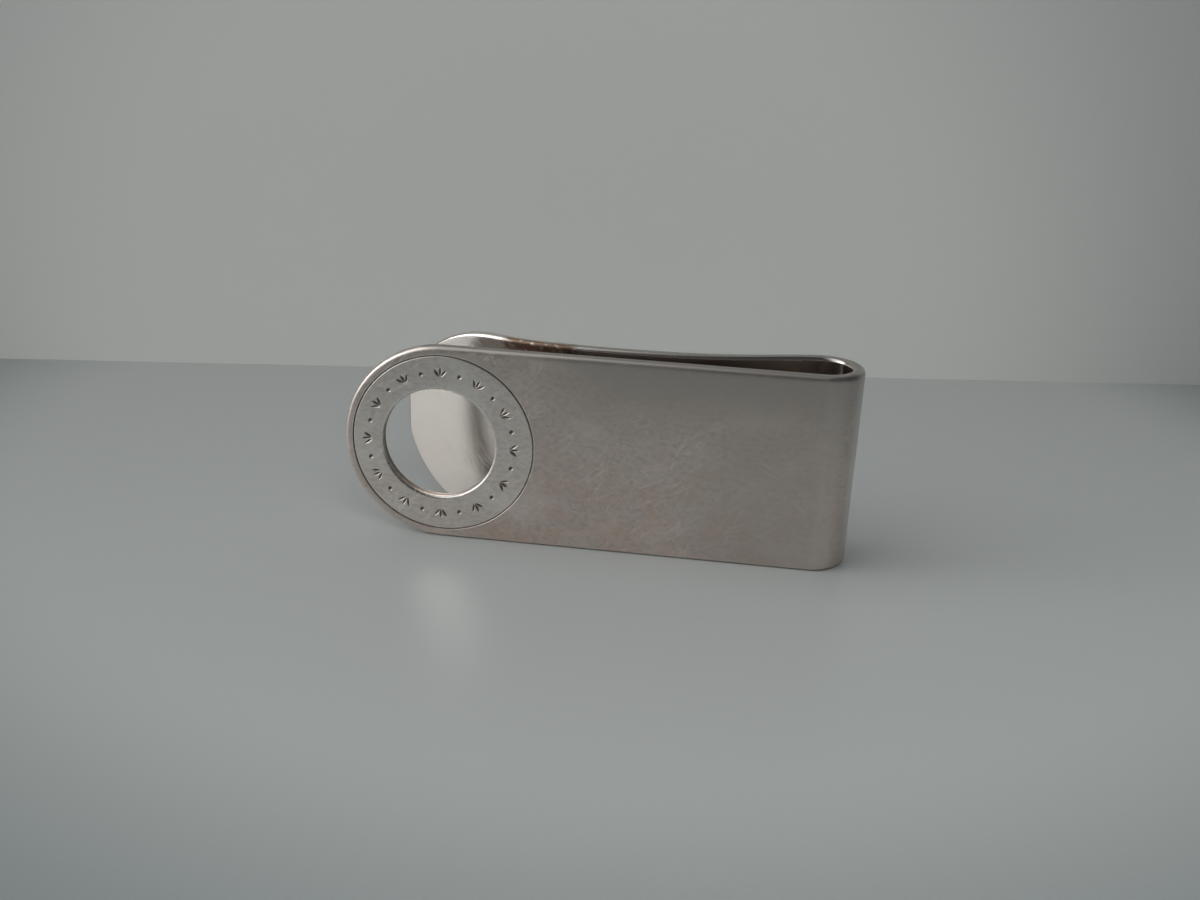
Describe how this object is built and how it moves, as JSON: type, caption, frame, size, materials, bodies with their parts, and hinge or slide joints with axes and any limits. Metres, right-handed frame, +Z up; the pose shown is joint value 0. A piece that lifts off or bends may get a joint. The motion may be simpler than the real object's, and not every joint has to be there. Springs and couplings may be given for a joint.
{
  "type": "money clip",
  "caption": "Silver money clip: a strip folded into a spring, with a flared back leaf and an engraved ring round a hole in its rounded end.",
  "frame": {"origin": "centre of the bounding box at the surface the clip stands on, on the long edge of its strip", "axes": "+X along the clip from the rounded ring end to the bend, +Y from the show face towards the spring leaf, +Z up across the width of the strip"},
  "size_m": [0.0554, 0.0126, 0.022],
  "materials": {
    "silver_plate": "satin sterling silver with fine scratches and a faint warm tarnish",
    "silver_ring": "satin sterling silver, engraved border darkened with tarnish",
    "silver_leaf": "semi-polished sterling silver with brown tarnish spots"
  },
  "bodies": {
    "plate": {"front_plate": "silver_plate", "ring_inlay": "silver_ring", "spring_bend": "silver_plate"},
    "leaf": {"spring_leaf": "silver_leaf"}
  },
  "joints": [
    {"name": "leaf_flex", "type": "hinge", "parent": "plate", "child": "leaf", "pos_m": [0.02345, -0.00201, 0.011], "axis": [0, 0, -1], "range_deg": [-4, 6], "stiffness_Nm_per_rad": 2}
  ]
}
